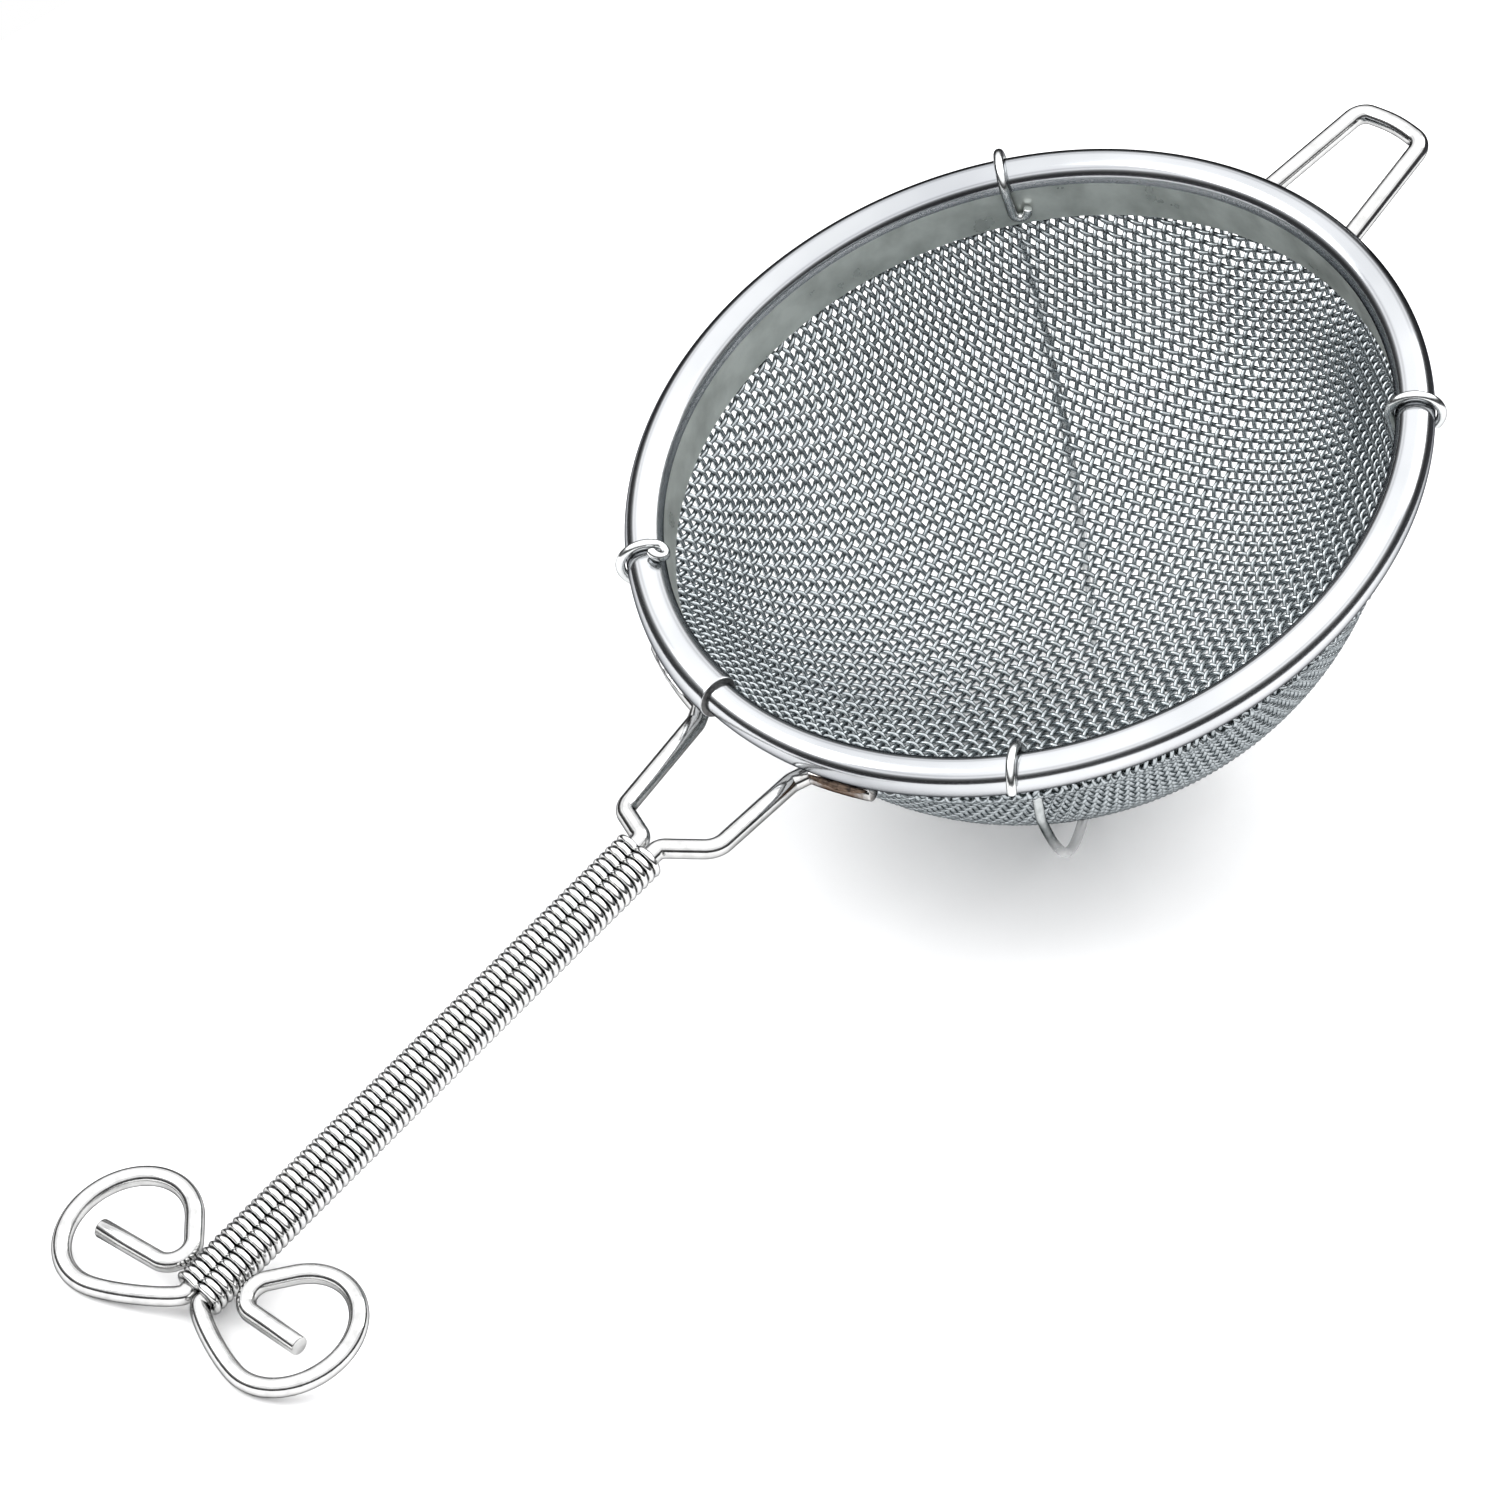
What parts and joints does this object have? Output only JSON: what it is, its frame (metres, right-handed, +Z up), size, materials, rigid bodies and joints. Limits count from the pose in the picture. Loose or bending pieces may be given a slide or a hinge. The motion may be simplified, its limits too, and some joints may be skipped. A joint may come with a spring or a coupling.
{
  "type": "wire mesh bowl strainer",
  "caption": "Round woven-wire bowl strainer with a rolled polished rim, crossed support wires, a pan hook and a wire-wrapped handle ending in two scroll feet.",
  "frame": {"origin": "bottom centre of the bounding box of the strainer at rest, on the surface it lies on", "axes": "+Z up from the floor; +X from the handle scrolls towards the pan hook; +Y to the left looking from the handle to the bowl. The rim plane is tilted about 17 degrees, handle end down"},
  "size_m": [0.2572, 0.12, 0.0757],
  "materials": {
    "polished_band": "mirror-polished stainless steel sheet, satin on the inner skirt",
    "woven_cloth": "plain-woven stainless wire cloth",
    "frame_wire": "bright drawn stainless wire",
    "wrap_wire": "bright thin wrapping wire",
    "support_wire": "drawn stainless wire, slightly duller",
    "weld_metal": "resistance weld with a brown heat tint"
  },
  "bodies": {
    "root": {"rim_band": "polished_band", "mesh_basket": "woven_cloth", "handle_wire_left": "frame_wire", "handle_wire_right": "frame_wire", "grip_coil": "wrap_wire", "pan_hook": "frame_wire", "support_wire_a": "support_wire", "support_wire_b": "support_wire", "handle_weld_left": "weld_metal", "handle_weld_right": "weld_metal", "hook_weld_left": "weld_metal", "hook_weld_right": "weld_metal"}
  },
  "joints": []
}
